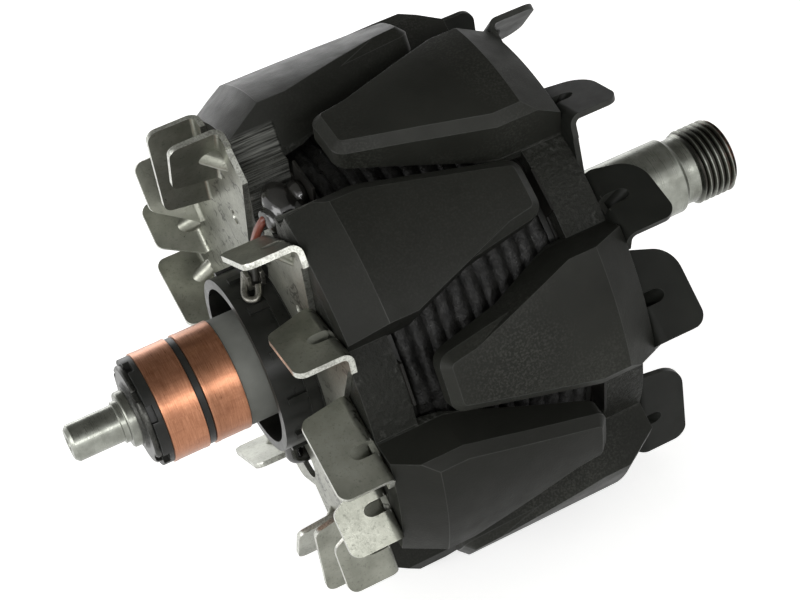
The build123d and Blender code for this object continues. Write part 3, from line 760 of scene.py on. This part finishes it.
leads = {
    # radii; routes of (x, distance from the shaft, angle); drops, which add (half length, outwards, round the shaft)
    "wire": 0.9, "sleeve": 1.85, "hook": 0.75, "startAngle": 64, "finishAngle": -118,
    "startRoute": [(-57.5, 34.5, 64), (-62, 36, 62.5), (-66.5, 38.6, 60), (-69.9, 39.6, 58.2), (-71.0, 36.5, 60),
                   (-71.6, 31, 64.5), (-72.8, 26, 66), (-73.4, 21.6, 64)],
    "startSleeve": [(-61.1, 35.4, 63), (-64, 37.4, 61.5), (-67.5, 39, 59.5), (-70.1, 39.2, 58.4)],
    "startDrops": [(-65.9, 40.4, 60.5, (3.2, 3.1, 5.2)), (-68.4, 38.6, 58.0, (1.8, 2.9, 3.4)),
                   (-63.6, 39.0, 56.0, (2.4, 3.0, 3.4)), (-61.9, 40.6, 60.5, (2.0, 2.6, 3.0))],
    "finishRoute": [(-57.5, 34.5, -118), (-64, 34.5, -118), (-71.4, 34.5, -118), (-73.4, 33.6, -118),
                    (-73.4, 30, -118), (-73.4, 21.6, -118)],
    "finishSleeve": [(-61.1, 34.5, -118), (-66, 34.5, -118), (-71.0, 34.5, -118), (-73.2, 33.8, -118),
                     (-73.4, 31.0, -118), (-73.4, 28.0, -118)],
    "finishDrops": [(-65.5, 36.5, -118, (2.4, 2.6, 3.6))],
    # both hooks alike, with their angles counted from their lead's
    "hookRoute": [(-74.6, 22.8, 5), (-75.6, 20.9, 1), (-76.6, 20.1, -4), (-76.4, 20.0, -8.5), (-74.9, 20.0, -10.5),
                  (-73.9, 20.6, -8), (-73.4, 21.3, -4)],
}


def roundShaft(x, radius, angle):
    # from millimetres to the scene; the angle is counted from -Y towards +Z, as the part's frame has it
    return x * mm, -radius * math.cos(math.radians(angle)) * mm, radius * math.sin(math.radians(angle)) * mm


def tubeAlong(name, route, radius):
    # a round tube on a smooth curve that a few points steer, made a mesh
    dropSelection()
    curve = bpy.data.curves.new(name, "CURVE")
    curve.dimensions = "3D"
    curve.bevel_depth = radius * mm
    curve.bevel_resolution = 4
    curve.use_fill_caps = True
    line = curve.splines.new("NURBS")
    line.points.add(len(route) - 1)
    for point, station in zip(line.points, route):
        point.co = (*roundShaft(*station), 1)
    line.order_u = 3
    line.use_endpoint_u = True
    line.resolution_u = 8
    piece = bpy.data.objects.new(name, curve)
    bpy.context.scene.collection.objects.link(piece)
    pick(piece)
    bpy.ops.object.convert(target="MESH")
    return bpy.context.object


def makeLump(name, sleeve, drops):
    # the sleeve and the drops of varnish on it, melted into one skin
    lump = {"dropSides": 24, "dropRings": 16, "voxel": 0.22, "sag": 0.6, "passes": 8, "shade": 180}
    pieces = [tubeAlong(name, sleeve, leads["sleeve"])]
    for x, radius, angle, size in drops:
        dropSelection()
        bpy.ops.mesh.primitive_uv_sphere_add(segments=lump["dropSides"], ring_count=lump["dropRings"], radius=1,
                                             location=roundShaft(x, radius, angle),
                                             rotation=(-math.radians(angle), 0, 0))
        drop = bpy.context.object
        drop.scale = [s * mm for s in size]
        settle(drop)
        pieces.append(drop)
    piece = join(pieces, name)
    melt = piece.modifiers.new("melt", "REMESH")
    melt.mode = "VOXEL"
    melt.voxel_size = lump["voxel"] * mm
    sag = piece.modifiers.new("sag", "SMOOTH")
    sag.factor = lump["sag"]
    sag.iterations = lump["passes"]
    applyModifiers(piece)
    smooth(piece, lump["shade"])
    return piece


def makeCoil():
    # the winding itself, all but hidden, with the two ends of its wire led out
    coil = {"outline": [(-58.8, 27.0), (-58.8, 39.4), (-22.4, 39.4), (-22.4, 27.0), (-58.8, 27.0)]}
    spool = lathe("fieldCoil", coil["outline"], mesh["ringSides"], closed=True)
    ends = [tubeAlong("fieldCoilEnd", leads[route], leads["wire"]) for route in ("startRoute", "finishRoute")]
    piece = join([spool] + ends, "fieldCoil")
    smooth(piece, mesh["ringShade"])
    return piece


def makeConductor(node, name, angle):
    # the flat conductor with its end hooked round the wire
    conductor = {"edge": 0.16, "shade": 50}
    strip = softEdges(copyOfNode(node, name), conductor["edge"])
    hook = tubeAlong(name + "Hook", [(x, radius, angle + off) for x, radius, off in leads["hookRoute"]], leads["hook"])
    piece = join([strip, hook], name)
    smooth(piece, conductor["shade"])
    wear(piece, terminalMetal, "terminal", node)


wear(makeCoil(), enamel, "winding", "field_coil")
wear(makeLump("startLead", leads["startSleeve"], leads["startDrops"]), sleeving, "sleeving", "lead_sleeve_start")
wear(makeLump("finishLead", leads["finishSleeve"], leads["finishDrops"]), sleeving, "sleeving", "lead_sleeve_finish")
makeConductor("conductor_outer", "outerConductor", leads["startAngle"])
makeConductor("conductor_inner", "innerConductor", leads["finishAngle"])

# these nodes stay as the CAD has them, since nothing of them shows
for node, material in {"pole_core": steel, "coil_bobbin": blackMoulding}.items():
    dress(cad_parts[node], material)


studio = {
    # the camera as it was fitted to the photo, and the floor, in millimetres
    "cameraPlace": (-152.69, -381.88, 142.51), "cameraRight": (0.88101, -0.36469, -0.30138),
    "cameraUp": (0.39638, 0.22122, 0.89104), "lens": 90.51, "sensor": 36.0, "floorHeight": -54.9,
    # everything else in metres
    "clipStart": 0.01, "floorSize": 6.0, "flagHeight": 0.8, "flagSize": 2.2, "lampAim": (-0.03, 0, 0),
    "paper": (0.86, 0.86, 0.85), "paperRoughness": 0.9, "paperGloss": 0.2, "paperLift": 0.72,
    "flagColour": (0.28, 0.28, 0.27),
    "white": (1, 1, 1), "whiteSeen": 1.0, "softColour": (1.0, 1.0, 0.97), "softLight": 0.45,
    # lamp: (place, width and height, watts)
    "lamps": {
        "softboxFront": ((-0.25, -1.3, 0.22), (1.5, 0.18), 7.5),
        "softboxLeft": ((-1.1, -0.3, 0.25), (0.8, 0.5), 5),
        "softboxBack": ((-0.1, 1.1, 0.40), (1.2, 0.4), 4),
    },
}


def seenDirectly(tree):
    # camera, gloss and glass see the white backdrop as it is
    path = tree.nodes.new("ShaderNodeLightPath")
    seen = sums(tree, "MAXIMUM", path.outputs["Is Camera Ray"], path.outputs["Is Glossy Ray"])
    return sums(tree, "MAXIMUM", seen, path.outputs["Is Transmission Ray"])


def stagePlane(name, size, height, material):
    dropSelection()
    bpy.ops.mesh.primitive_plane_add(size=size, location=(0, 0, height))
    plane = bpy.context.object
    plane.name = name
    plane.data.materials.append(material)
    return plane


def setStage():
    # plain pale paper under the rotor, lifted to white where it is looked at, and a dark flag overhead
    paper, tree, shader = newMaterial("studioPaper", studio["paper"], studio["paperRoughness"], 0.0,
                                      studio["paperGloss"])
    shader.inputs["Emission Color"].default_value = (*studio["white"], 1)
    tree.links.new(product(tree, seenDirectly(tree), studio["paperLift"]), shader.inputs["Emission Strength"])
    stagePlane("studioFloor", studio["floorSize"], studio["floorHeight"] * mm, paper)
    cloth = newMaterial("flagCloth", studio["flagColour"], 1.0, 0.0, 0.0)[0]
    flag = stagePlane("studioFlag", studio["flagSize"], studio["flagHeight"], cloth)
    flag.visible_camera = False


def areaLamp(name, where, size, power):
    data = bpy.data.lights.new(name, "AREA")
    data.shape = "RECTANGLE"
    data.size, data.size_y = size
    data.energy = power
    lamp = bpy.data.objects.new(name, data)
    bpy.context.scene.collection.objects.link(lamp)
    lamp.location = where
    lamp.rotation_euler = (Vector(studio["lampAim"]) - Vector(where)).to_track_quat("-Z", "Y").to_euler()


def setCamera():
    data = bpy.data.cameras.new("photoCamera")
    data.sensor_width = studio["sensor"]
    data.lens = studio["lens"]
    data.clip_start = studio["clipStart"]
    camera = bpy.data.objects.new("photoCamera", data)
    bpy.context.scene.collection.objects.link(camera)
    right = Vector(studio["cameraRight"]).normalized()
    up = Vector(studio["cameraUp"])
    up = (up - right * up.dot(right)).normalized()
    back = right.cross(up)
    turn = Matrix((right, up, back)).transposed().to_4x4()
    camera.matrix_world = Matrix.Translation(Vector(studio["cameraPlace"]) * mm) @ turn
    bpy.context.scene.camera = camera


def backdrop(tree, colour, strength):
    node = tree.nodes.new("ShaderNodeBackground")
    node.inputs["Color"].default_value = (*colour, 1)
    node.inputs["Strength"].default_value = strength
    return node.outputs["Background"]


def setWorld():
    # soft daylight on the rotor; white where the camera, gloss or glass looks past it
    world = bpy.data.worlds.new("studioWorld")
    bpy.context.scene.world = world
    world.use_nodes = True
    tree = world.node_tree
    tree.nodes.clear()
    output = tree.nodes.new("ShaderNodeOutputWorld")
    soft = backdrop(tree, studio["softColour"], studio["softLight"])
    white = backdrop(tree, studio["white"], studio["whiteSeen"])
    mix = tree.nodes.new("ShaderNodeMixShader")
    feed(tree, mix.inputs, (seenDirectly(tree), soft, white))
    tree.links.new(mix.outputs["Shader"], output.inputs["Surface"])


print("scene: stage, light and camera")
setStage()
setWorld()
setCamera()
for lampName, (where, size, power) in studio["lamps"].items():
    areaLamp(lampName, where, size, power)
bpy.context.scene.view_settings.view_transform = "Standard"
